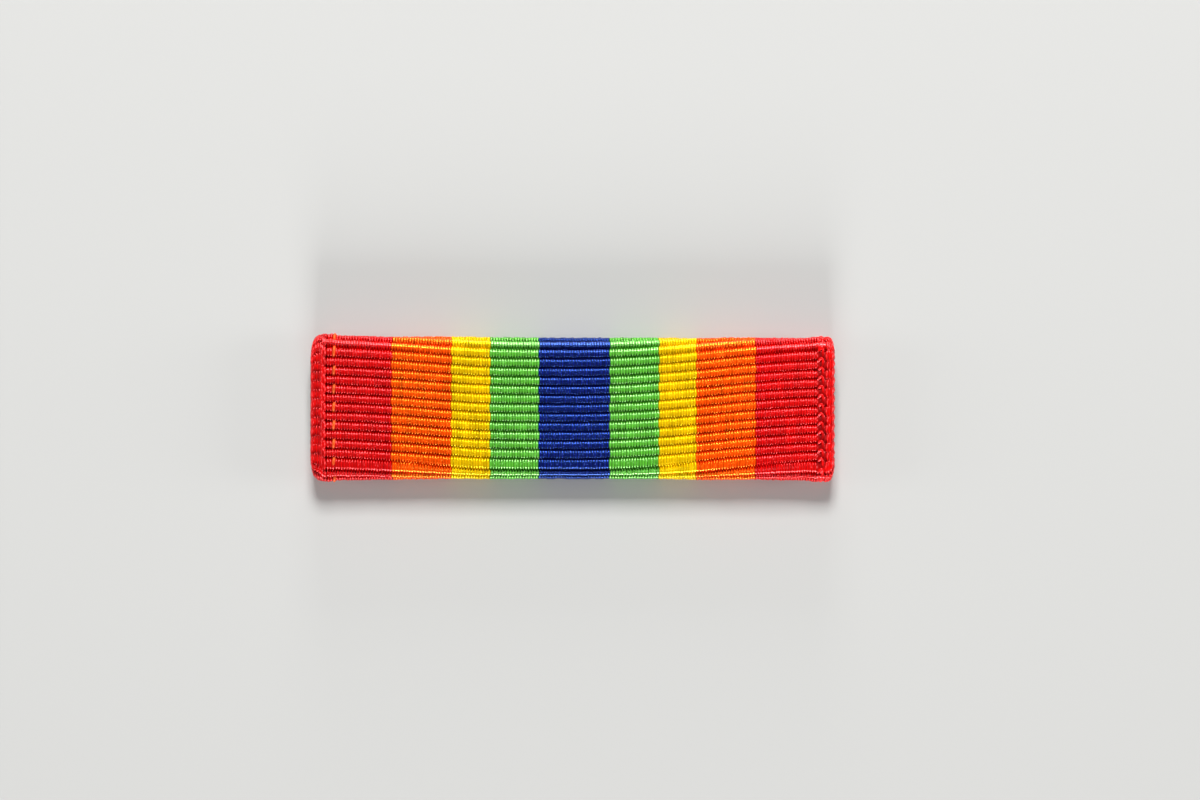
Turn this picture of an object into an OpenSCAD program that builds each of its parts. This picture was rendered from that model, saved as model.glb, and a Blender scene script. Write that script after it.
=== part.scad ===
// Slide-on ribbon bar: a striped ribbon with cross ribs, folded round a thin brass carrier.
// The bar lies on its back. X runs along the bar, Y up its face and Z out of its face,
// and the origin is the middle of the plane that the back rests on.

/* [Bar] */
// Length of the bar, which is the woven width of the ribbon
bar_l = 34.9; // [30:0.1:42]
// Height of the bar, over the crests of the ribs
bar_h = 9.5; // [8.5:0.1:12]

/* [Brass carrier] */
// Thickness of the brass sheet
sheet_t = 0.25; // [0.2:0.01:0.35]
// Clear depth of the channel that a holder's rail slides in
channel_d = 0.7; // [0.5:0.05:1]
// Clear width between the two lips at the back
lip_gap = 4.6; // [3.6:0.1:5]
// Distance from each end of the carrier to the ribbon's edge
end_inset = 0.75; // [0.4:0.05:1.5]

/* [Cloth] */
// Thickness of the cloth, over the crest of a rib
cloth_t = 0.48; // [0.4:0.01:0.6]
// Pitch of the ribs, measured in the middle of the cloth
rib_pitch = 0.608; // [0.5:0.001:0.7]
// Width of the furrow that the round of one rib leaves to the next
furrow_w = 0.09; // [0.07:0.01:0.15]
// Depth of the furrow between two ribs
furrow_d = 0.16; // [0.1:0.01:0.2]
// Rise of the ribs, which are woven in a bow, from the bar's middle to its right end
bow_rise = 1.12; // [0:0.01:1.5]
// Depth by which the ribs on the back are pressed flat
press_d = 0.05; // [0.03:0.01:0.08]
// Distance from a lip's free edge to the cut edge of the cloth
cut_inset = 0.2; // [0.1:0.05:0.4]

/* [Selvedges] */
// How far a selvedge stands out past the cloth beside it
selvedge_swell = 0.08; // [0.02:0.01:0.1]
// Radius of the selvedges' corners, seen from the front
corner_r = 0.6; // [0.3:0.05:0.9]

/* [Clearances] */
// Gap between the cloth and the brass
cloth_gap = 0.02; // [0.01:0.01:0.05]
// Gap between one stripe and the next
stripe_gap = 0.02; // [0.01:0.01:0.05]

/* [Hidden] */
$fn = 48;

// The stripes from left to right, the selvedges first and last. Each row gives the node's
// name, its share of the bar's length in thousandths, the share of the bow's rise that the
// ribs have at its left end in hundredths, and its colour.
STRIPES = [
    ["selvedge_left", 31, 67, "crimson"],
    ["scarlet_left", 124, 65, "crimson"],
    ["orange_left", 114, 44, "orangered"],
    ["yellow_left", 74, 19, "gold"],
    ["green_left", 93, 5, "mediumseagreen"],
    ["blue_centre", 135, 0, "midnightblue"],
    ["green_right", 94, 4, "mediumseagreen"],
    ["yellow_right", 71, 21, "gold"],
    ["orange_right", 113, 39, "orangered"],
    ["scarlet_right", 117, 74, "crimson"],
    ["selvedge_right", 34, 98, "crimson"]
];
COUNT = len(STRIPES);

// Columns of the table. The bow has its full rise at the right end of the last stripe.
function name_of(i) = STRIPES[i][0];
function share_of(i) = STRIPES[i][1];
function rise_at(i) = bow_rise * (i < COUNT ? STRIPES[i][2] / 100 : 1);
function colour_of(i) = STRIPES[i][3];

// Left end of a stripe, from the table's running total
function share_before(i) = i == 0 ? 0 : share_before(i - 1) + share_of(i - 1);
function start_of(i) = bar_l * (share_before(i) / 1000 - 0.5);

// Sizes of the carrier's folded section
carrier_t = channel_d + 2 * sheet_t;
carrier_h = bar_h - 2 * (cloth_t + cloth_gap);
carrier_l = bar_l - 2 * end_inset;

// Diameter of the round of a rib
rib_d = rib_pitch - furrow_w;

// Sizes of the cloth's folded section, over the crests of its ribs
crest_t = carrier_t + 2 * (cloth_gap + cloth_t);
flat_half = (bar_h - crest_t) / 2;
bend_r = (crest_t - cloth_t) / 2;
cut_half = lip_gap / 2 + cut_inset;

// Height of the section's middle over the plane that the back rests on
middle_z = crest_t / 2 - press_d;

// Ribs above the middle of the face, and below it, where the bow brings in a few more
path_half = 2 * flat_half + PI * bend_r - cut_half;
ribs_up = ceil(path_half / rib_pitch);
ribs_down = ceil((path_half + bow_rise) / rib_pitch);

// Place on the section of a point r away from its middle line and a distance s along the
// cloth from the middle of the face: up the face, round the bend and back along the lip
function turn(s) = (s - flat_half) / bend_r * 180 / PI;
function upper_half(s, r) =
    turn(s) <= 0 ? [s, r]
    : turn(s) <= 180 ? [flat_half + r * sin(turn(s)), r * cos(turn(s))]
    : [2 * flat_half + PI * bend_r - s, -r];
function on_section(s, r) =
    let (place = upper_half(abs(s), r))
        [s < 0 ? -place[0] : place[0], place[1]];

// A flat strip with half-round edges, seen in section
module strip_section(h, t) {
    square([h - t, t], center = true);
    for (side = [-1, 1])
        translate([side * (h - t) / 2, 0])
            circle(d = t);
}

// Draws a section out along the bar, from one place on X to another
module along_bar(from, to) {
    translate([from, 0, middle_z])
        rotate([90, 0, 90])
            linear_extrude(to - from)
                children();
}

// The bar's outline seen from the front, with its corners rounded
module face_outline() {
    h = bar_h + 2 * selvedge_swell;
    square([bar_l - 2 * corner_r, h], center = true);
    square([bar_l, h - 2 * corner_r], center = true);
    for (x = [-1, 1], y = [-1, 1])
        translate([x * (bar_l / 2 - corner_r), y * (h / 2 - corner_r)])
            circle(r = corner_r);
}

// A straight rib through two points, which runs on past each by its own width
module rib(p, q) {
    run = q - p;
    translate(p)
        rotate([0, acos(run.z / norm(run)), atan2(run.y, run.x)])
            translate([0, 0, -rib_d])
                cylinder(h = norm(run) + 2 * rib_d, d = rib_d);
}

// The ribs of one stripe, each of which rises from its left end to its right as the bow does
module ribs(i, swell) {
    r = (crest_t - rib_d) / 2 + swell;
    for (k = [-ribs_down : ribs_up]) {
        p = on_section(k * rib_pitch + rise_at(i), r);
        q = on_section(k * rib_pitch + rise_at(i + 1), r);
        rib([start_of(i), p[0], middle_z + p[1]], [start_of(i + 1), q[0], middle_z + q[1]]);
    }
}

// The cloth of one stripe, wrapped round the carrier and cut open between its lips
module cloth(i, from, to, swell) {
    ground_h = bar_h - 2 * (furrow_d - swell);
    ground_t = crest_t - 2 * (furrow_d - swell);
    difference() {
        intersection() {
            union() {
                along_bar(from, to)
                    strip_section(ground_h, ground_t);
                ribs(i, swell);
            }
            translate([from, -bar_h, 0])
                cube([to - from, 2 * bar_h, 2 * crest_t]);
        }
        along_bar(from - stripe_gap, to + stripe_gap)
            strip_section(carrier_h + 2 * cloth_gap, carrier_t + 2 * cloth_gap);
        along_bar(from - stripe_gap, to + stripe_gap)
            translate([-cut_half, -crest_t])
                square([2 * cut_half, crest_t]);
    }
}

// Brass sheet folded to a channel, whose lips hold it on a rail
module slide_mount() {
    color("goldenrod")
        along_bar(-carrier_l / 2, carrier_l / 2)
            difference() {
                strip_section(carrier_h, carrier_t);
                strip_section(carrier_h - 2 * sheet_t, channel_d);
                translate([-lip_gap / 2, -carrier_t])
                    square([lip_gap, carrier_t]);
            }
}

// One stripe of the ribbon
module stripe(i) {
    color(colour_of(i))
        cloth(i, start_of(i) + stripe_gap / 2, start_of(i + 1) - stripe_gap / 2, 0);
}

// One edge of the ribbon, thicker than the cloth beside it and rounded at its corners
module selvedge(i) {
    from = i == 0 ? start_of(i) : start_of(i) + stripe_gap / 2;
    to = i == 0 ? start_of(i + 1) - stripe_gap / 2 : start_of(i + 1);
    color(colour_of(i))
        intersection() {
            cloth(i, from, to, selvedge_swell);
            linear_extrude(2 * crest_t)
                face_outline();
        }
}

slide_mount();
for (i = [0, COUNT - 1])
    selvedge(i);
for (i = [1 : COUNT - 2])
    stripe(i);
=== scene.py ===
# %% [markdown]
# # Dressing a ribbon bar
#
# A service ribbon is a short length of striped silk or rayon ribbon, folded round a thin brass
# channel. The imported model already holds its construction: the brass, the folded cloth and
# the eleven bands of colour, each in its right place. This lesson gives them their looks. The
# ribs of the cloth get their crossing yarns, the two selvedges get their own edges, and every
# surface gets a finish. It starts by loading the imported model, and keeps the size that it has.

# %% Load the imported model
import math

import bmesh
import bpy
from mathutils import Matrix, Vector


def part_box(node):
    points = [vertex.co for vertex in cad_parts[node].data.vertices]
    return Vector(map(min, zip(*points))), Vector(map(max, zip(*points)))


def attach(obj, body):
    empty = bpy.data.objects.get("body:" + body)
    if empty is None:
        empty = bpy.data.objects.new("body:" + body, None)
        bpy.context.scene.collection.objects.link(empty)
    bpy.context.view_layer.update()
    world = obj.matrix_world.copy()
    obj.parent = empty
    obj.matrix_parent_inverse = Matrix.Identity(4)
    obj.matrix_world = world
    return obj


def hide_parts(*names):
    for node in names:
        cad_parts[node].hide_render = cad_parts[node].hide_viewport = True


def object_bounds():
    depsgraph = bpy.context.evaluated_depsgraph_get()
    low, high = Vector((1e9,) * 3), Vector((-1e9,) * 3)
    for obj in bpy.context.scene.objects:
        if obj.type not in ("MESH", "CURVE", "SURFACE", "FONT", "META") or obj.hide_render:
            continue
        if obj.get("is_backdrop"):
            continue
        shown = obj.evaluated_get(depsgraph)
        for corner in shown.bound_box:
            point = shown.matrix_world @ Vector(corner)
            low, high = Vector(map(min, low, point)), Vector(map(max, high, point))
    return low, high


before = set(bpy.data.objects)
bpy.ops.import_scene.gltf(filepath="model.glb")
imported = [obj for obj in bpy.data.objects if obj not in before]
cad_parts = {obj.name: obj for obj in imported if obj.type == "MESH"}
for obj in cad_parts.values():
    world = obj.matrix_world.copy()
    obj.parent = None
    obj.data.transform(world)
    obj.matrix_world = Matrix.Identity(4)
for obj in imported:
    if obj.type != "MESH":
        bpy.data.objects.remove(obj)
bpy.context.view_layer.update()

# %% [markdown]
# ## The fold
#
# Seen from its end, the ribbon runs up the face, turns round the edge and comes back along the
# lip. So two plain numbers place every point of the cloth: how far it lies along the cloth
# from the middle of the face, and how far out it lies from the middle of the fold. The whole
# weave can then be worked out on a flat ribbon, and the fold is one short sum at the end.
# Modifiers could bend it as well, but each bends a stretch at one rate, and this ribbon is
# flat, bent, and flat again. All the sizes of the fold come from the brass, which it wraps,
# and from a few sizes of the cloth.

# %% Sizes of the fold
MM = 0.001
CLOTH_GAP = 0.02 * MM
CLOTH_THICK = 0.48 * MM
CUT_EDGE_Y = 2.5 * MM

brass_low, brass_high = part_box("slide_mount")
MIDDLE_Z = (brass_low.z + brass_high.z) / 2
LINING_R = (brass_high.z - brass_low.z) / 2 + CLOTH_GAP
CREST_R = LINING_R + CLOTH_THICK
BEND_R = (LINING_R + CREST_R) / 2
FLAT_HALF = (brass_high.y - brass_low.y - (brass_high.z - brass_low.z)) / 2
PATH_HALF = 2 * FLAT_HALF + math.pi * BEND_R - CUT_EDGE_Y
print(f"Half the ribbon's cut length is {PATH_HALF / MM:.2f} mm, and its bend {BEND_R / MM:.2f} mm")

# %% Sizes of the weave
BAR_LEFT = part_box("selvedge_left")[0].x
BAR_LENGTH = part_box("selvedge_right")[1].x - BAR_LEFT
RIB_PITCH = 0.608 * MM
FURROW_DEPTH = 0.16 * MM
BOW_RISE = 1.12 * MM
FIRST_RIB = -14
LAST_RIB = 12
RIB_COUNT = LAST_RIB - FIRST_RIB + 1
RIB_MIDDLE = (FIRST_RIB + LAST_RIB) / 2
print("Ribs from cut edge to cut edge:", round(2 * PATH_HALF / RIB_PITCH, 1))

# %% [markdown]
# ## Arithmetic on sockets
#
# The weave and the finishes are both sums on fields, and a sum of thirty Math nodes is hard to
# read as a list of links. A small class wraps a node's output, so that Python's own signs
# add the Math nodes. One method adds every other kind of node: it takes the node's type, its
# settings, and the values or wires of its sockets.


# %% A wire that Python can reckon with
class Wire:
    """One output of a node. Python's arithmetic on it adds Math nodes to its tree."""

    def __init__(self, tree, made, output=0):
        self.tree = tree
        self.made = made
        self.socket = made.outputs[output] if len(made.outputs) else None

    def output(self, name):
        return Wire(self.tree, self.made, name)

    def math(self, operation, *values):
        values = dict(enumerate(values))
        return node(self.tree, "ShaderNodeMath", {"operation": operation}, values)

    def __add__(self, other):
        return self.math("ADD", self, other)

    def __sub__(self, other):
        return self.math("SUBTRACT", self, other)

    def __rsub__(self, other):
        return self.math("SUBTRACT", other, self)

    def __mul__(self, other):
        return self.math("MULTIPLY", self, other)

    def __truediv__(self, other):
        return self.math("DIVIDE", self, other)

    def __pow__(self, other):
        return self.math("POWER", self, other)

    def __neg__(self):
        return self.math("MULTIPLY", self, -1)

    def __abs__(self):
        return self.math("ABSOLUTE", self)

    __radd__ = __add__
    __rmul__ = __mul__

    def cos(self):
        return self.math("COSINE", self)

    def sin(self):
        return self.math("SINE", self)

    def sign(self):
        return self.math("SIGN", self)

    def floor(self):
        return self.math("FLOOR", self)

    def fraction(self):
        return self.math("FRACT", self)

    def root(self):
        return self.math("SQRT", self)

    def over(self, other):
        return self.math("MAXIMUM", self, other)

    def under(self, other):
        return self.math("MINIMUM", self, other)

    def between(self, low, high):
        return self.over(low).under(high)


# %% One method for every other node
def node(tree, kind, settings=None, sockets=None, output=0):
    """Adds a node, sets it up, and fills its sockets. Returns the wire of one output."""
    made = tree.nodes.new(kind)
    for name, value in (settings or {}).items():
        if name == "points":
            fill_curve(made.mapping, value)
        else:
            setattr(made, name, value)
    for name, value in (sockets or {}).items():
        for one in value if isinstance(value, list) else [value]:
            if isinstance(one, Wire):
                tree.links.new(one.socket, made.inputs[name])
            else:
                made.inputs[name].default_value = one
    return Wire(tree, made, output)


def fill_curve(mapping, points):
    line = mapping.curves[0].points
    for x, y in points[1:-1]:
        line.new(x, y)
    line[0].location = points[0]
    line[len(line) - 1].location = points[-1]
    mapping.update()


def along_curve(share, points):
    """A smooth curve through a few points, whose x runs from 0 to 1."""
    low = min(y for _, y in points)
    span = max(y for _, y in points) - low
    scaled = [(x, (y - low) / span) for x, y in points]
    height = node(share.tree, "ShaderNodeFloatCurve", {"points": scaled}, {"Value": share})
    return height * span + low


def xyz(x, y, z):
    tree = next(part.tree for part in (x, y, z) if isinstance(part, Wire))
    return node(tree, "ShaderNodeCombineXYZ", None, {"X": x, "Y": y, "Z": z})


# %% [markdown]
# ## Where the ribs run
#
# The ribs of this ribbon are woven in a bow: they lie level in the blue stripe and climb
# towards both ends, more to the right. A curve through the climb at the edges of the stripes
# gives it, and a faint slow noise keeps the ribs from being ruler-straight. Past the tenth
# rib each way the noise stays as it is: the rows beyond a cut edge are squeezed onto it, and
# only rows that fall on one line weld together. One rib near the lower edge is wider than the
# rest. The folded bar is also a little narrower in its middle, where the cloth pulls, and has
# a small ear at each end of its long edges, where the selvedge starts. That is a second curve.

# %% The bow of the ribs and the waist of the bar
# Share of the bar's length, and share of the bow's rise
BOW = [
    (0.0, 0.58), (0.031, 0.56), (0.155, 0.385), (0.269, 0.14), (0.343, 0.01), (0.436, -0.015),
    (0.5, -0.015), (0.571, 0.03), (0.665, 0.19), (0.736, 0.385), (0.849, 0.74), (0.966, 0.97),
    (1.0, 1.0),
]
# Share of the bar's length, and how far the long edges lie from the middle in mm
WAIST = [
    (0.0, 4.88), (0.031, 4.95), (0.05, 4.86), (0.12, 4.82), (0.3, 4.77), (0.5, 4.73),
    (0.75, 4.76), (0.95, 4.79), (0.966, 4.88), (1.0, 4.84),
]
WOBBLE = 0.03 * MM
WOBBLES_ALONG = 0.12 / MM
WOBBLES_PER_RIB = 0.6
WOBBLE_LAYER = 3.7
WOBBLE_TO = 10
WIDE_RIB_AT = -3.95 * MM
WIDE_RIB_REACH = 0.6 * MM
WIDE_RIB_BY = 0.15 * MM
print(f"The bow rises {BOW_RISE / MM:.2f} mm, which is {BOW_RISE / RIB_PITCH:.1f} ribs")


def share_of_bar(x):
    return (x - BAR_LEFT) / BAR_LENGTH


def bow_at(x, rib):
    """How far a rib has climbed at x, with a slow unevenness of its own."""
    near_rib = rib.between(-WOBBLE_TO, WOBBLE_TO)
    where = xyz(x * WOBBLES_ALONG, near_rib * WOBBLES_PER_RIB, WOBBLE_LAYER)
    uneven = node(x.tree, "ShaderNodeTexNoise", {}, {"Vector": where, "Scale": 1.0, "Detail": 0.0})
    return along_curve(share_of_bar(x), BOW) * BOW_RISE + (uneven - 0.5) * (2 * WOBBLE)


def run_of(rib, x):
    """How far along the cloth a rib lies at x."""
    run = rib * RIB_PITCH + bow_at(x, rib)
    beside = ((run - WIDE_RIB_AT) / WIDE_RIB_REACH).between(-1, 1)
    return run - (1 - beside * beside) * (1 - beside * beside) * WIDE_RIB_BY


def waist_at(x):
    """How much wider or narrower the bend is than the plain fold, as a share of its reach."""
    plain = (FLAT_HALF + CREST_R) / MM
    return (along_curve(share_of_bar(x), WAIST) - plain) * (MM / CREST_R)


def folded(x, run, radius, reach=1.0):
    """The place of a point that lies run along the cloth and radius out from the fold."""
    length = abs(run)
    turn = ((length - FLAT_HALF) / BEND_R).between(0, math.pi)
    back = (length - FLAT_HALF - math.pi * BEND_R).over(0)
    up = length.under(FLAT_HALF) + radius * turn.sin() * reach - back
    return xyz(x, run.sign() * up, (MIDDLE_Z + radius * turn.cos()).over(0))


# %% [markdown]
# ## The woven cloth
#
# In a ribbon like this the warp yarns lie so close that they hide the weft. Half of them pass
# over the even weft cords and half over the odd ones, so a rib shows only every second yarn,
# and the next rib shows the others, half a yarn to the side. Where two ribs meet, the yarns
# dive between one another, and that makes the fine zigzag of the furrow. A grid bent in
# Geometry Nodes suits this: each point takes the higher of the two sets of yarns. Single
# tubes would give the same look for many times the faces.
#
# RIB_FLAT squares the round top of a rib a little, and RELIEF scales the depth of its
# furrows, which are deeper where an outer stripe meets its selvedge and round the bend.
# YARN_ROUND rounds a yarn off to its neighbours, by YARN_DEPTH on a crest and by DIVE_DEPTH in
# a furrow, where YARN_NARROWS makes it thinner. REACH_VARIES lets some yarns reach further
# than others into the furrow. In the furrow each set lies SET_SHIFT of a yarn to its own
# side, and SIDESTEP sways the ribs of the two sets apart, which fades over the last
# STEP_FADES yarns before a selvedge. The gap between two yarns gets painted shade in the
# finish. CREST_GAP is how strong that painted shade is on a crest, against 1 in a furrow.

# %% Sizes of the yarns
RIB_FLAT = 0.65
RELIEF = 1.08
END_DEEPER = 0.35
BEND_DEEPER = 0.35
BEND_STARTS = 3.7 * MM
BEND_BLENDS = 0.5 * MM
YARN_ROUND = 0.6
YARN_DEPTH = 0.02 * MM
DIVE_DEPTH = 0.17 * MM
YARN_NARROWS = 1.2
REACH_VARIES = 0.2
CREST_GAP = 0.6
SIDESTEP = 0.033 * MM
STEP_FADES = 4
SET_SHIFT = 0.25
SIDE_SHARPNESS = 4
SEEDS_PER_MM = 50
print(f"Depth of a furrow: {RELIEF * FURROW_DEPTH / MM:.3f} mm")


def ask(tree, name, kind="NodeSocketFloat", value=None):
    """A named input of a tree."""
    made = tree.interface.new_socket(name, in_out="INPUT", socket_type=kind)
    if value is not None:
        made.default_value = value
    return node(tree, "NodeGroupInput", output=name)


def keep(geometry, name, value, kind="FLOAT"):
    """Stores a value on the points of a mesh under a name."""
    settings = {"data_type": kind, "domain": "POINT"}
    sockets = {"Geometry": geometry, "Name": name, "Value": value}
    return node(geometry.tree, "GeometryNodeStoreNamedAttribute", settings, sockets)


def kept(tree, name):
    return node(tree, "GeometryNodeInputNamedAttribute", {"data_type": "FLOAT"}, {"Name": name})


def bent(run):
    """Whether a point lies on the face, 0, or round the bend, 1."""
    return ((abs(run) - BEND_STARTS) / BEND_BLENDS).between(0, 1)


# %% The yarns that pass over one set of ribs
def yarns_over(across, rib_cos, yarn_shift, rib_number, seed, relief, fineness):
    """Height of one set of yarns, counted down from the crest of a rib, and how much painted shade its
    gaps get.
    """
    yarn = across + (0.5 - yarn_shift)
    middle_off = abs(yarn.fraction() - 0.5)
    which = xyz(yarn.floor() + seed, rib_number, 0.0)
    chance = node(across.tree, "ShaderNodeTexWhiteNoise", {"noise_dimensions": "2D"}, {"Vector": which})
    lift = rib_cos.sign() * abs(rib_cos) ** RIB_FLAT + (chance - 0.5) * REACH_VARIES
    steep = 1 - abs(rib_cos)
    narrowed = middle_off * 2 * (1 + steep * YARN_NARROWS)
    hollow = narrowed ** 3 * YARN_ROUND
    sunk = fineness * YARN_DEPTH + steep * steep * relief * DIVE_DEPTH
    height = (lift - 1) * relief * FURROW_DEPTH - hollow * sunk
    # The gap's weight is for the painted shade between yarns, and it is stronger in a furrow than on a
    # crest.
    gap = (narrowed * narrowed).under(1) * (CREST_GAP + steep * (1 - CREST_GAP))
    return height, gap * fineness


# %% [markdown]
# A band starts as two flat grids in one mesh. The first is the woven face, with eight columns
# of points for each yarn and ten rows for each rib. The second is only three faces wide: the
# middle one is the lining, and the outer two are the walls at the band's sides. Each point
# keeps three numbers, its column, its row and whether it lies on the lining, because the
# weave and the fold are worked out from those alone. The rows crowd together in the furrows,
# where the cloth bends most.

# %% The flat grids of a band
RIB_ROWS = 10
CROWD_ROWS = 0.55
WELD = 0.001 * MM
print("Rows of points from cut edge to cut edge:", RIB_COUNT * RIB_ROWS + 1)


def flat_band(tree, yarns, yarn_columns):
    """The face, the lining and the side walls of a band, still flat, with their numbers."""
    place = node(tree, "ShaderNodeSeparateXYZ", None, {0: node(tree, "GeometryNodeInputPosition")})
    rows = RIB_COUNT * RIB_ROWS + 1
    face = node(tree, "GeometryNodeMeshGrid", None, {
        "Size X": yarns, "Size Y": RIB_COUNT,
        "Vertices X": yarns * yarn_columns + 1, "Vertices Y": rows,
    })
    face = keep(face, "column", place + yarns / 2)
    face = keep(face, "lining", 0.0)
    walls = node(tree, "GeometryNodeMeshGrid", None, {
        "Size X": 3.0, "Size Y": RIB_COUNT, "Vertices X": 4, "Vertices Y": rows,
    })
    walls = keep(walls, "column", place.math("GREATER_THAN", place, 0) * yarns)
    walls = keep(walls, "lining", place.math("LESS_THAN", abs(place), 1))
    both = node(tree, "GeometryNodeJoinGeometry", None, {"Geometry": [walls, face]})
    return keep(both, "row", place.output("Y"))


# %% [markdown]
# A stripe and a selvedge are woven alike. They differ in how a band rounds over at its outer
# side, how far its ribs climb there, how deep its furrows are, how far its single yarns show,
# how high it stands, and how it ends at the bar's corners. A small class gives the plain
# answers of a stripe, and the selvedges give their own further on. A switch in the tree would
# do as well, but every stripe would then carry the nodes of a selvedge.

# %% The plain cloth of a stripe
class Cloth:
    """The plain cloth of a stripe, across which a share runs from 0 to 1."""

    def round_over(self, share, width):
        """How far across a column lies, and how far it has dropped."""
        return share * width, 0.0

    def climb(self, share):
        """How far a rib climbs beyond its bow."""
        return 0.0

    def relief(self, share, run, still):
        """How deep the furrows are. Still is 1 where a selvedge holds the yarns."""
        return RELIEF + still * END_DEEPER + bent(run) * BEND_DEEPER

    def fineness(self, share):
        """How far the single yarns show."""
        return 1.0

    def profile(self, share, run):
        """How high the band stands over plain cloth."""
        return 0.0

    def round_corner(self, spot, rib):
        """A point's place on the rounded bar. A stripe is clear of the corners."""
        return spot


# %% [markdown]
# The tree of a band does three things with the numbers of the flat grids. It lays the columns
# and rows out on the flat ribbon, along the bow of the ribs and within the cut edges. It asks
# both sets of yarns how high they stand at a point, and the higher one shows. Then it folds
# them round the brass, with the lining under them.

# %% Lay a band out on the flat ribbon
def lay_out(tree, cloth, left, right, yarns):
    """A point's share of the band's width, its x, its drop, how far along it lies, and its rib."""
    even_row = kept(tree, "row") + RIB_MIDDLE
    rib = even_row + (even_row * math.tau).sin() * (CROWD_ROWS / math.tau)
    share = kept(tree, "column") / yarns
    run_out, drop = cloth.round_over(share, right - left)
    x = left + run_out
    loose_run = run_of(rib, x) + cloth.climb(share)
    run = loose_run.between(-PATH_HALF, PATH_HALF)
    return share, x, drop, run, rib + (run - loose_run) / RIB_PITCH


# %% Let the higher set of yarns show
def interlace(column, rib, seed, relief, fineness):
    """The height of the upper yarns, how much painted shade their gaps get, and which of the sets is on
    top.
    """
    rib_cos = (rib * math.pi).cos()
    side = (rib_cos * SIDE_SHARPNESS).between(-1, 1)
    across = column - side * SET_SHIFT
    even_rib = (rib / 2 + 0.5).floor() * 2
    odd_rib = (rib / 2).floor() * 2 + 1
    even, even_gap = yarns_over(across, rib_cos, SET_SHIFT, even_rib, seed, relief, fineness)
    odd, odd_gap = yarns_over(across, -rib_cos, 1 - SET_SHIFT, odd_rib, seed, relief, fineness)
    on_top = even.math("GREATER_THAN", even, odd)
    return even.over(odd), odd_gap + (even_gap - odd_gap) * on_top, side


# %% A tree that weaves a band of cloth
def weave_tree(name, cloth):
    """The tree of a band, with named inputs for its two ends, its yarns and its finish."""
    tree = bpy.data.node_groups.new(name, "GeometryNodeTree")
    tree.interface.new_socket("Cloth", in_out="OUTPUT", socket_type="NodeSocketGeometry")
    left = ask(tree, "Left")
    right = ask(tree, "Right")
    yarns = ask(tree, "Yarns", "NodeSocketInt", 20)
    yarn_columns = ask(tree, "Yarn Columns", "NodeSocketInt", 8)
    step_left = ask(tree, "Step Left", value=1.0)
    step_right = ask(tree, "Step Right", value=1.0)
    finish = ask(tree, "Finish", "NodeSocketMaterial")

    both = flat_band(tree, yarns, yarn_columns)
    column = kept(tree, "column")
    lining = kept(tree, "lining")
    share, plain_x, drop, run, rib = lay_out(tree, cloth, left, right, yarns)

    still_left = (1 - step_left) * (1 - column / STEP_FADES).over(0)
    still_right = (1 - step_right) * (1 - (yarns - column) / STEP_FADES).over(0)
    still = still_left + still_right
    seed = (left / MM).floor() * SEEDS_PER_MM
    relief = cloth.relief(share, run, still)
    height, gap, side = interlace(column, rib, seed, relief, cloth.fineness(share))
    height = height + cloth.profile(share, run)
    depth = (-height / FURROW_DEPTH).between(0, 1)

    x = plain_x - side * (1 - still) * SIDESTEP
    radius = CREST_R + height - drop
    radius = radius + (LINING_R - radius) * lining
    reach = 1 + waist_at(plain_x) * (1 - lining)
    spot = cloth.round_corner(folded(x, run, radius, reach), rib)
    both = keep(both, "weave", xyz(x / MM, run / MM, depth), "FLOAT_VECTOR")
    # The gaps' weight goes to the finish, which paints shade with it.
    both = keep(both, "gap", gap * (1 - lining))
    cloth = node(tree, "GeometryNodeSetPosition", None, {"Geometry": both, "Position": spot})
    cloth = node(tree, "GeometryNodeMergeByDistance", None, {"Geometry": cloth, "Distance": WELD})
    cloth = node(tree, "GeometryNodeRealizeInstances", None, {"Geometry": cloth})
    cloth = node(tree, "GeometryNodeSetMaterial", None, {"Geometry": cloth, "Material": finish})
    node(tree, "NodeGroupOutput", None, {"Cloth": cloth})
    return tree


# %% [markdown]
# A modifier's result isn't the object's own mesh yet. So the tree is run once for each piece,
# its result is kept as a plain mesh, and the modifier goes. The cloth is still open along its
# two cut edges, and these are closed last, with all faces turned outwards.

# %% Turn a tree into a plain closed mesh
def woven(name, tree, values):
    """Runs a tree with the given values of its named inputs, and keeps its mesh."""
    piece = bpy.data.objects.new(name, bpy.data.meshes.new(name))
    bpy.context.scene.collection.objects.link(piece)
    maker = piece.modifiers.new("maker", "NODES")
    maker.node_group = tree
    for item in tree.interface.items_tree:
        if item.name in values:
            maker[item.identifier] = values[item.name]
    shapes = bpy.context.evaluated_depsgraph_get()
    mesh = bpy.data.meshes.new_from_object(
        piece.evaluated_get(shapes), preserve_all_data_layers=True, depsgraph=shapes
    )
    piece.modifiers.remove(maker)
    piece.data = mesh
    mesh.name = name
    for helper in ("column", "row", "lining"):
        if helper in mesh.attributes:
            mesh.attributes.remove(mesh.attributes[helper])
    return piece


def close_up(piece, crease=50):
    """Closes the two cut edges, points all faces outwards and smooths the rounded ones."""
    work = bmesh.new()
    work.from_mesh(piece.data)
    rims = [side for side in work.edges if side.is_boundary]
    bmesh.ops.holes_fill(work, edges=rims, sides=0)
    bmesh.ops.recalc_face_normals(work, faces=work.faces)
    for face in work.faces:
        face.smooth = True
    open_left = sum(side.is_boundary for side in work.edges)
    work.to_mesh(piece.data)
    work.free()
    piece.data.set_sharp_from_angle(angle=math.radians(crease))
    triangles = sum(len(face.vertices) - 2 for face in piece.data.polygons)
    print(f"{piece.name}: {triangles} triangles, {len(rims)} rim edges closed, {open_left} left open")
    return piece
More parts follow.
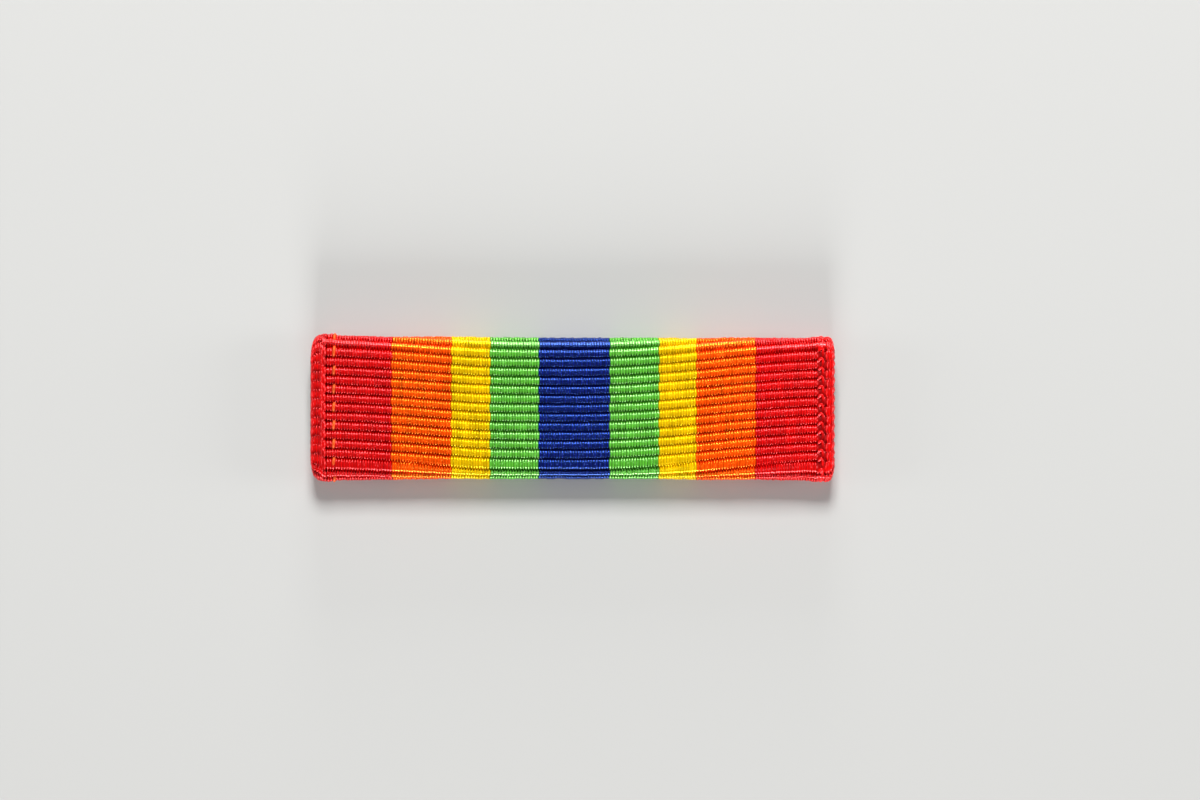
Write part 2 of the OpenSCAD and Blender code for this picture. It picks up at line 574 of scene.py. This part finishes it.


# %% [markdown]
# ## The finish of the cloth
#
# Rayon yarn is glossy along its filaments. Deep in its furrows a stripe gets a second, painted
# colour. It is painted shade in most finishes, and painted bounce light, where light goes back
# and forth in the cloth, in the scarlet, orange and yellow stripes. The gaps between two yarns
# get painted shade.
# Each yarn takes the dye a little differently, and fine filaments run along it. All of this
# reads the numbers that the tree stored on the cloth, so it follows the weave round the bend:
# the place on the flat ribbon in mm, the depth in the furrow and the nearness of a gap. The
# gloss itself comes from the shader and the lights, and its tint from the dyed filaments.

# %% A cloth finish
YARN_GRAIN = (5.5, 0.35)
FILAMENT_GRAIN = (30.0, 2.2)
YARN_TONES = 0.8
FILAMENT_TONES = 0.7
FURROW_STARTS = 0.25
BRIGHTER_RIGHT = 0.006
GLOSS_VARIES = 0.12
FILAMENT_BUMP = 0.006 * MM
YARN_IOR = 1.9


def cloth_finish(
    name, colour, deep, shine, gloss=0.21, gap_shade=0.85, patch_grain=0.5, patch_tones=0.2,
):
    """A dyed rayon: its colour on the ribs, painted light and shade deep in its furrows, and the tint of
    its highlights.
    """
    material = bpy.data.materials.new(name)
    material.use_nodes = True
    tree = material.node_tree
    tree.nodes.clear()
    weave = node(tree, "ShaderNodeAttribute", {"attribute_name": "weave"}, output="Vector")
    place = node(tree, "ShaderNodeSeparateXYZ", None, {0: weave})
    run = place.output("Y")
    depth = place.output("Z")

    def noise(grain, layer, detail=0.0):
        """A noise with so many grains in a mm across the yarns and along them."""
        where = xyz(place * grain[0], run * grain[1], layer)
        return node(tree, "ShaderNodeTexNoise", {}, {"Vector": where, "Scale": 1.0, "Detail": detail})

    yarn_tone = noise(YARN_GRAIN, 0.0)
    filament = noise(FILAMENT_GRAIN, 5.0, 1.0)
    patch = noise((patch_grain, patch_grain), 9.0)
    gap = node(tree, "ShaderNodeAttribute", {"attribute_name": "gap"}, output="Fac")
    tone_and_shade = 1 + (yarn_tone - 0.5) * YARN_TONES + (filament - 0.5) * FILAMENT_TONES
    tone_and_shade = tone_and_shade + (patch - 0.5) * patch_tones
    # The gaps between yarns are darkened here, which is painted shade, and the colour grows a little
    # brighter towards the right.
    tone_and_shade = tone_and_shade * (1 - gap * gap_shade) * (1 + place * BRIGHTER_RIGHT)
    # Deeper in a furrow the colour turns to the second one: painted shade, and painted bounce light in the
    # scarlet, orange and yellow stripes.
    sunk = ((depth - FURROW_STARTS) / (1 - FURROW_STARTS)).between(0, 1)
    mixed = node(tree, "ShaderNodeMix", {"data_type": "RGBA"}, {0: sunk, 6: colour, 7: deep}, 2)
    toned = node(tree, "ShaderNodeVectorMath", {"operation": "SCALE"}, {0: mixed, "Scale": tone_and_shade})
    bump = node(tree, "ShaderNodeBump", None, {
        "Strength": 0.3, "Distance": FILAMENT_BUMP, "Height": filament,
    })
    shader = node(tree, "ShaderNodeBsdfPrincipled", None, {
        "Base Color": toned, "Normal": bump,
        "Roughness": gloss + (filament - 0.5) * GLOSS_VARIES,
        "IOR": YARN_IOR, "Specular IOR Level": 1.0, "Specular Tint": shine,
    })
    node(tree, "ShaderNodeOutputMaterial", None, {"Surface": shader})
    return material


# %% The colours of the ribbon
SCARLET_SHINE = (1.0, 0.125, 0.135, 1)
# Each finish has its colour, a second colour painted deep in its furrows, and the tint of its shine. That
# second colour is darker for painted shade, and lighter for painted bounce light in the scarlet, orange
# and yellow cloth. The darkness of the gaps between yarns is painted shade as well.
FINISHES = {
    "scarlet_cloth": cloth_finish(
        "scarlet rayon",
        colour=(0.6, 0.001, 0.001, 1), deep=(0.9, 0.001, 0.001, 1), shine=SCARLET_SHINE),
    "left edge": cloth_finish(
        "scarlet left edge",
        colour=(0.63, 0.001, 0.001, 1), deep=(0.31, 0.001, 0.001, 1), shine=SCARLET_SHINE,
        gloss=0.26, gap_shade=0.6, patch_grain=1.8, patch_tones=0.9),
    "right edge": cloth_finish(
        "scarlet right edge",
        colour=(0.7, 0.001, 0.001, 1), deep=(0.25, 0.001, 0.001, 1), shine=SCARLET_SHINE,
        gloss=0.25, gap_shade=0.7, patch_grain=2.2, patch_tones=0.3),
    "tracer": cloth_finish(
        "orange tracer",
        colour=(0.62, 0.05, 0.002, 1), deep=(0.5, 0.02, 0.001, 1), shine=(1.0, 0.3, 0.1, 1),
        gloss=0.5),
    "orange_cloth": cloth_finish(
        "orange rayon",
        colour=(0.81, 0.0555, 0.001, 1), deep=(0.99, 0.05, 0.001, 1), shine=(1.0, 0.47, 0.03, 1),
        gap_shade=0.65),
    "yellow_cloth": cloth_finish(
        "yellow rayon",
        colour=(0.64, 0.368, 0.001, 1), deep=(0.99, 0.56, 0.001, 1), shine=(0.8, 0.85, 0.01, 1),
        gap_shade=0.5),
    "green_cloth": cloth_finish(
        "green rayon",
        colour=(0.075, 0.37, 0.021, 1), deep=(0.055, 0.31, 0.014, 1), shine=(0.5, 0.95, 0.36, 1)),
    "blue_cloth": cloth_finish(
        "blue rayon",
        colour=(0.001, 0.003, 0.085, 1), deep=(0.001, 0.002, 0.07, 1), shine=(0.1, 0.24, 0.85, 1),
        gloss=0.22, gap_shade=0.8),
}
print("Cloth finishes:", ", ".join(FINISHES))

# %% [markdown]
# ## The nine stripes
#
# All nine come from one tree. Only their ends, their number of yarns and their finish differ,
# and the two outer ones stop swaying at the selvedge, where the real yarns are held. In the
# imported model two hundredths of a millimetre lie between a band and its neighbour. Here most
# of that gap is closed, so that no dark line shows where the real ribbon has none.

# %% Weave the nine stripes
# Each stripe's slot, and how many yarns lie side by side in it
STRIPES = {
    "scarlet_left": ("scarlet_cloth", 24), "orange_left": ("orange_cloth", 22),
    "yellow_left": ("yellow_cloth", 14), "green_left": ("green_cloth", 18),
    "blue_centre": ("blue_cloth", 26), "green_right": ("green_cloth", 18),
    "yellow_right": ("yellow_cloth", 14), "orange_right": ("orange_cloth", 22),
    "scarlet_right": ("scarlet_cloth", 24),
}
STILL_SIDE = {"scarlet_left": "Step Left", "scarlet_right": "Step Right"}
STRIPE_GAP = 0.02 * MM
SEAM = 0.006 * MM
stripe_tree = weave_tree("woven stripe", Cloth())


def dress(piece, node_name):
    """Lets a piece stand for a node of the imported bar."""
    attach(piece, "root")
    if node_name:
        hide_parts(node_name)
    return piece


def band_edges(node_name):
    """Where a band meets its neighbours, a hair's breadth short of them."""
    low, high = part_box(node_name)
    return low.x - (STRIPE_GAP - SEAM) / 2, high.x + (STRIPE_GAP - SEAM) / 2


for stripe, (slot, yarns) in STRIPES.items():
    left, right = band_edges(stripe)
    values = {"Left": left, "Right": right, "Yarns": yarns, "Finish": FINISHES[slot]}
    if stripe in STILL_SIDE:
        values[STILL_SIDE[stripe]] = 0.0
    dress(close_up(woven(stripe + "_weave", stripe_tree, values)), stripe)


# %% [markdown]
# ## The selvedges
#
# The two woven edges of a ribbon are firmer than the cloth. The weft turns back there, so
# the ribs fade into a lumpy border that rounds over to the side. The left one here is soft
# and broad. The right one has a chain of little loops next to the cloth, and outside it a
# band of fine upright yarns with a knobbly edge. The function that built the stripes' tree
# builds theirs too, from a class that answers for an edge where Cloth answered for a stripe.

# %% What is different at an edge
EDGE_ACROSS = 0.25 * MM
EDGE_DOWN = 0.45 * MM
EDGE_ARC = 0.56 * MM
CORNER_STARTS = 2.6 * MM
CORNER_BLENDS = 2.0 * MM
LEAST_RELIEF = 0.02
BEND_RELIEF = 0.35
BEND_EVENS = 0.8
LUMPS_ACROSS = 3.0
LUMPS_ALONG = 1.3 / MM
LUMP_LAYER = 2.0


class Edge(Cloth):
    """The outer edge of a ribbon, in a few curves over its width.

    Their shares run from 0 at the cloth to 1 at the outside. Heights and climbs are in mm,
    reliefs scale the furrows, and yarns says how far the single yarns show.
    """

    def __init__(self, outside, heights, reliefs, yarns, climbs, patchy, corner, knobs):
        self.outside = outside
        self.heights = heights
        self.reliefs = reliefs
        self.yarns = yarns
        self.climbs = climbs
        self.patchy = patchy
        self.corner = corner
        self.knobs = knobs

    def outward(self, share):
        return share if self.outside > 0 else 1 - share

    def round_over(self, share, width):
        """How far across a column lies, and how far it has dropped, on an edge rounded over."""
        surface = (1 - self.outward(share)) * (width + EDGE_ARC - EDGE_ACROSS)
        angle = (surface / EDGE_ARC).under(1) * (math.pi / 2)
        inward = (1 - angle.cos()) * EDGE_ACROSS + (surface - EDGE_ARC).over(0)
        drop = (1 - angle.sin()) * EDGE_DOWN
        return (width - inward if self.outside > 0 else inward), drop

    def climb(self, share):
        return along_curve(self.outward(share), self.climbs) * MM

    def relief(self, share, run, still):
        """How deep the furrows are: patchy on the face, and deeper again round the bend."""
        where = xyz(share * LUMPS_ACROSS, run * LUMPS_ALONG, LUMP_LAYER)
        chance = node(share.tree, "ShaderNodeTexNoise", {}, {"Vector": where, "Scale": 1.0, "Detail": 0.0})
        plain = along_curve(self.outward(share), self.reliefs) * (1 + (chance - 0.5) * self.patchy)
        return plain.over(LEAST_RELIEF) + bent(run) * BEND_RELIEF

    def fineness(self, share):
        """How far the single yarns show."""
        return along_curve(self.outward(share), self.yarns)

    def profile(self, share, run):
        """How high the band stands. It evens out round the bend."""
        return along_curve(self.outward(share), self.heights) * MM * (1 - bent(run) * BEND_EVENS)

    def round_corner(self, spot, rib):
        """Rounds the bar's corners, seen from the front, and adds the knobs of the edge."""
        part = node(spot.tree, "ShaderNodeSeparateXYZ", None, {0: spot})
        y = part.output("Y")
        end_x = BAR_LEFT + BAR_LENGTH if self.outside > 0 else BAR_LEFT
        inside = abs(part - end_x)
        past = (self.corner - inside).between(0, self.corner)
        fall = self.corner - (self.corner * self.corner - past * past).over(0).root()
        near = ((abs(y) - CORNER_STARTS) / CORNER_BLENDS).between(0, 1)
        near = near * near * (3 - near * 2)
        knob = (rib * math.tau).cos() * (self.knobs * self.outside)
        rim = (1 - inside / EDGE_ACROSS).over(0)
        return xyz(part + knob * rim, y - y.sign() * fall * near, part.output("Z"))


# %% The two edges
left_edge = Edge(
    outside=-1,
    heights=[
        (0.0, -0.05), (0.05, -0.02), (0.14, 0.03), (0.26, 0.0), (0.34, -0.02), (0.5, -0.04),
        (0.7, 0.02), (0.84, 0.07), (1.0, 0.06),
    ],
    reliefs=[(0.0, 0.95), (0.1, 0.6), (0.2, 0.2), (0.35, 0.35), (0.6, 0.35), (0.78, 0.2), (1.0, 0.12)],
    yarns=[(0.0, 1.0), (0.5, 1.0), (0.75, 0.8), (1.0, 0.5)],
    climbs=[(0.0, 0.0), (0.15, 0.03), (0.35, 0.27), (0.7, 0.2), (1.0, 0.1)],
    patchy=1.0,
    corner=0.8 * MM,
    knobs=0.006 * MM,
)
right_edge = Edge(
    outside=1,
    heights=[
        (0.0, -0.08), (0.1, -0.15), (0.3, -0.16), (0.36, -0.14), (0.46, 0.0), (0.6, 0.05),
        (0.8, 0.07), (1.0, 0.06),
    ],
    reliefs=[(0.0, 0.3), (0.3, 0.3), (0.38, 0.5), (0.5, 0.3), (0.75, 0.24), (1.0, 0.15)],
    yarns=[(0.0, 0.5), (0.3, 0.5), (0.45, 1.0), (1.0, 0.9)],
    climbs=[(0.0, 0.0), (0.5, -0.03), (0.75, 0.08), (1.0, 0.2)],
    patchy=1.0,
    corner=0.55 * MM,
    knobs=0.03 * MM,
)
print("The right edge stands", max(rise for _, rise in right_edge.heights), "mm over the cloth")

# %% Weave the two selvedges
EDGE_YARNS = 8
EDGES = {"selvedge_left": (left_edge, "left edge"), "selvedge_right": (right_edge, "right edge")}
for name, (edge, finish) in EDGES.items():
    left, right = band_edges(name)
    low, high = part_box(name)
    if edge.outside < 0:
        left = low.x
    else:
        right = high.x
    tree = weave_tree(name + " weave", edge)
    values = {
        "Left": left, "Right": right, "Yarns": EDGE_YARNS,
        "Step Left": 0.0, "Step Right": 0.0, "Finish": FINISHES[finish],
    }
    dress(close_up(woven(name + "_weave", tree, values)), name)

# %% [markdown]
# ## Two loose details of the weave
#
# A ribbon's maker often runs one thread of another colour near the edge. Here an orange
# one rises over every second rib of the left scarlet stripe. And a chain of little loops
# runs down the inside of the right selvedge. Both are one short thread, repeated at the
# pitch of the ribs. So one tree makes both: it sets the thread's line on a row of points
# while the cloth is still flat, gives it a round section, and then folds it like the cloth.


# %% A tree that repeats a thread along the ribs
THREAD_STEPS = 16
THREAD_SIDES = 10
print("Faces round and along one thread:", THREAD_SIDES, "x", THREAD_STEPS)


def thread_tree(name):
    tree = bpy.data.node_groups.new(name, "GeometryNodeTree")
    tree.interface.new_socket("Threads", in_out="OUTPUT", socket_type="NodeSocketGeometry")
    x = ask(tree, "X")
    first = ask(tree, "First Rib")
    step = ask(tree, "Rib Step", value=1.0)
    count = ask(tree, "Count", "NodeSocketInt", 10)
    radius = ask(tree, "Thread Radius", value=0.05 * MM)
    ends = [ask(tree, end, "NodeSocketVector") for end in ("Start", "Middle", "End")]
    finish = ask(tree, "Finish", "NodeSocketMaterial")

    seats = node(tree, "GeometryNodeMeshLine", None, {"Count": count})
    rib = first + node(tree, "GeometryNodeInputIndex") * step
    seat = xyz(x, rib * RIB_PITCH + bow_at(x, rib), 0.0)
    seats = node(tree, "GeometryNodeSetPosition", None, {"Geometry": seats, "Position": seat})
    line = node(tree, "GeometryNodeCurveQuadraticBezier", None, {
        "Resolution": THREAD_STEPS, "Start": ends[0], "Middle": ends[1], "End": ends[2],
    })
    lines = node(tree, "GeometryNodeInstanceOnPoints", None, {"Points": seats, "Instance": line})
    lines = node(tree, "GeometryNodeRealizeInstances", None, {"Geometry": lines})
    ring = node(tree, "GeometryNodeCurvePrimitiveCircle", None, {
        "Resolution": THREAD_SIDES, "Radius": radius,
    })
    threads = node(tree, "GeometryNodeCurveToMesh", None, {
        "Curve": lines, "Profile Curve": ring, "Fill Caps": True,
    })
    flat = node(tree, "ShaderNodeSeparateXYZ", None, {0: node(tree, "GeometryNodeInputPosition")})
    run = flat.output("Y")
    high = flat.output("Z")
    threads = keep(threads, "weave", xyz(flat / MM, run / MM, 0.0), "FLOAT_VECTOR")
    spot = folded(flat, run, CREST_R + high, 1 + waist_at(flat))
    threads = node(tree, "GeometryNodeSetPosition", None, {"Geometry": threads, "Position": spot})
    threads = node(tree, "GeometryNodeRealizeInstances", None, {"Geometry": threads})
    threads = node(tree, "GeometryNodeSetMaterial", None, {"Geometry": threads, "Material": finish})
    node(tree, "NodeGroupOutput", None, {"Threads": threads})
    return tree


# %% The tracer thread and the loops
thread = thread_tree("repeated thread")
scarlet_left, scarlet_right = band_edges("scarlet_left")
TRACER_YARN = 2.75
tracer_x = scarlet_left + (scarlet_right - scarlet_left) * TRACER_YARN / STRIPES["scarlet_left"][1]
tracer = woven("tracer_thread", thread, {
    "X": tracer_x, "First Rib": -13.0, "Rib Step": 2.0, "Count": 13,
    "Thread Radius": 0.1 * MM, "Finish": FINISHES["tracer"],
    "Start": (-0.04 * MM, -0.31 * MM, -0.33 * MM), "Middle": (0, 0.05 * MM, 0.2 * MM),
    "End": (0.03 * MM, 0.3 * MM, -0.19 * MM),
})
dress(close_up(tracer), None)

LOOP_IN = 0.17 * MM
loops = woven("selvedge_loops", thread, {
    "X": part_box("selvedge_right")[0].x + LOOP_IN, "First Rib": -12.5, "Rib Step": 1.0,
    "Count": 22, "Thread Radius": 0.078 * MM, "Finish": FINISHES["right edge"],
    "Start": (-0.04 * MM, 0.0, -0.17 * MM), "Middle": (0.26 * MM, 0.42 * MM, 0.14 * MM),
    "End": (0.2 * MM, -0.5 * MM, -0.32 * MM),
})
dress(close_up(loops), None)

# %% [markdown]
# ## The brass
#
# The carrier hardly shows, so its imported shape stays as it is. It is rolled sheet brass:
# long faint rolling lines, a warm tarnish in patches and a dull shine. A picture of brass
# would have to be unwrapped round the folds. Two noises need none: one is stretched along the
# bar, as the rollers stretched the metal, and the other is the tarnish.

# %% Rolled brass
# Grains in a metre, along the rolling lines, across them, and of the tarnish
LINES_ALONG = 150
LINES_ACROSS = 9000
TARNISH_GRAIN = 260.0
TARNISH_FROM = 0.42
TARNISH_EDGE = 4
CLEAN_BRASS = (0.83, 0.60, 0.25, 1)
TARNISHED = (0.50, 0.30, 0.10, 1)
CLEAN_ROUGH = 0.28
TARNISH_DULLS = 0.2
LINES_DULL = 0.15
ROLLING_BUMP = 0.004 * MM
brass = bpy.data.materials.new("rolled brass")
brass.use_nodes = True
tree = brass.node_tree
tree.nodes.clear()
spot = node(tree, "ShaderNodeTexCoord", output="Object")
part = node(tree, "ShaderNodeSeparateXYZ", None, {0: spot})
lines_at = xyz(part * LINES_ALONG, part.output("Y") * LINES_ACROSS, part.output("Z") * LINES_ACROSS)
lines = node(tree, "ShaderNodeTexNoise", {}, {"Vector": lines_at, "Scale": 1.0, "Detail": 3.0})
patches = node(tree, "ShaderNodeTexNoise", {}, {"Vector": spot, "Scale": TARNISH_GRAIN, "Detail": 4.0})
tarnish = ((patches - TARNISH_FROM) * TARNISH_EDGE).between(0, 1)
mixed = {0: tarnish, 6: CLEAN_BRASS, 7: TARNISHED}
colour = node(tree, "ShaderNodeMix", {"data_type": "RGBA"}, mixed, 2)
bump = node(tree, "ShaderNodeBump", None, {"Strength": 0.4, "Distance": ROLLING_BUMP, "Height": lines})
shader = node(tree, "ShaderNodeBsdfPrincipled", None, {
    "Base Color": colour, "Metallic": 1.0, "Normal": bump,
    "Roughness": CLEAN_ROUGH + tarnish * TARNISH_DULLS + (lines - 0.5) * LINES_DULL,
})
node(tree, "ShaderNodeOutputMaterial", None, {"Surface": shader})
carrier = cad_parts["slide_mount"]
if not carrier.material_slots:
    carrier.data.materials.append(brass)
for place in carrier.material_slots:
    place.material = brass
print("The carrier has", len(carrier.data.polygons), "faces and its brass finish")

# %% [markdown]
# ## Floor, light and camera
#
# The bar lies on a plain pale floor and is seen from straight above. A surface sends a lamp's
# light up to the camera where it is tilted half as far as the lamp is from overhead. So the
# key lamp, beyond the upper edge, gives each rib its bright line. Two lower lamps pick out
# the lines round the two bends, two at the ends give the selvedges their bright rims, and a
# faint pale world fills the rest.

# %% Floor
FLOOR_HALF = 0.6
FLOOR_COLOUR = (0.44, 0.44, 0.43, 1)
FLOOR_ROUGH = 0.8
floor_mesh = bpy.data.meshes.new("floor")
corners = [(x * FLOOR_HALF, y * FLOOR_HALF, 0) for x, y in ((-1, -1), (1, -1), (1, 1), (-1, 1))]
floor_mesh.from_pydata(corners, [], [(0, 1, 2, 3)])
floor = bpy.data.objects.new("floor", floor_mesh)
bpy.context.scene.collection.objects.link(floor)
pale = bpy.data.materials.new("pale floor")
pale.use_nodes = True
pale_shader = pale.node_tree.nodes["Principled BSDF"]
pale_shader.inputs["Base Color"].default_value = FLOOR_COLOUR
pale_shader.inputs["Roughness"].default_value = FLOOR_ROUGH
floor_mesh.materials.append(pale)
floor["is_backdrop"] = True
print("The floor is", 2 * FLOOR_HALF, "m wide")


# %% Lamps
LAMP_DISTANCE = 0.5
WORLD_STRENGTH = 0.1
# Name, azimuth and elevation in degrees, side in metres, and power in watts
LAMPS = [
    ("key", 180, 41, 0.15, 3.8),
    ("low back", 180, 6, 0.13, 2.0),
    ("low front", 0, 14, 0.13, 3.6),
    ("left", 270, 14, 0.16, 0.7),
    ("right", 90, 14, 0.16, 1.1),
]


def lamp(name, azimuth, elevation, side, power):
    """A square lamp that looks at the bar. Azimuth 0 stands on the -Y side."""
    light = bpy.data.lights.new(name, "AREA")
    light.shape = "SQUARE"
    light.size = side
    light.energy = power
    item = bpy.data.objects.new(name, light)
    turn, rise = math.radians(azimuth), math.radians(elevation)
    item.location = (
        LAMP_DISTANCE * math.sin(turn) * math.cos(rise),
        -LAMP_DISTANCE * math.cos(turn) * math.cos(rise),
        LAMP_DISTANCE * math.sin(rise),
    )
    item.rotation_euler = (math.radians(90) - rise, 0, turn)
    bpy.context.scene.collection.objects.link(item)


for row in LAMPS:
    lamp(*row)
world = bpy.data.worlds.new("pale world")
bpy.context.scene.world = world
world.use_nodes = True
world.node_tree.nodes["Background"].inputs["Color"].default_value = (1, 1, 1, 1)
world.node_tree.nodes["Background"].inputs["Strength"].default_value = WORLD_STRENGTH
print("Lamps:", ", ".join(row[0] for row in LAMPS))

# %% Camera
LENS = 100
SENSOR_WIDTH = 36
FRAME_WIDTH = 79.75 * MM
FACE_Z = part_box("blue_centre")[1].z
AIM_X = 1.83 * MM
AIM_Y = 0.56 * MM
TILT = 0.15
view = bpy.data.cameras.new("camera")
view.lens = LENS
view.sensor_width = SENSOR_WIDTH
view.clip_start = 0.01
camera = bpy.data.objects.new("camera", view)
camera.location = (AIM_X, AIM_Y, FACE_Z + FRAME_WIDTH * LENS / SENSOR_WIDTH)
camera.rotation_euler = (0, 0, math.radians(TILT))
bpy.context.scene.collection.objects.link(camera)
bpy.context.scene.camera = camera
bpy.context.scene.view_settings.view_transform = "Standard"
print(f"The camera stands {camera.location.z / MM:.0f} mm over the floor, straight above the bar")

# %% The size of the dressed bar
low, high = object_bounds()
print("The dressed bar in mm:", [round(1000 * side, 2) for side in high - low])
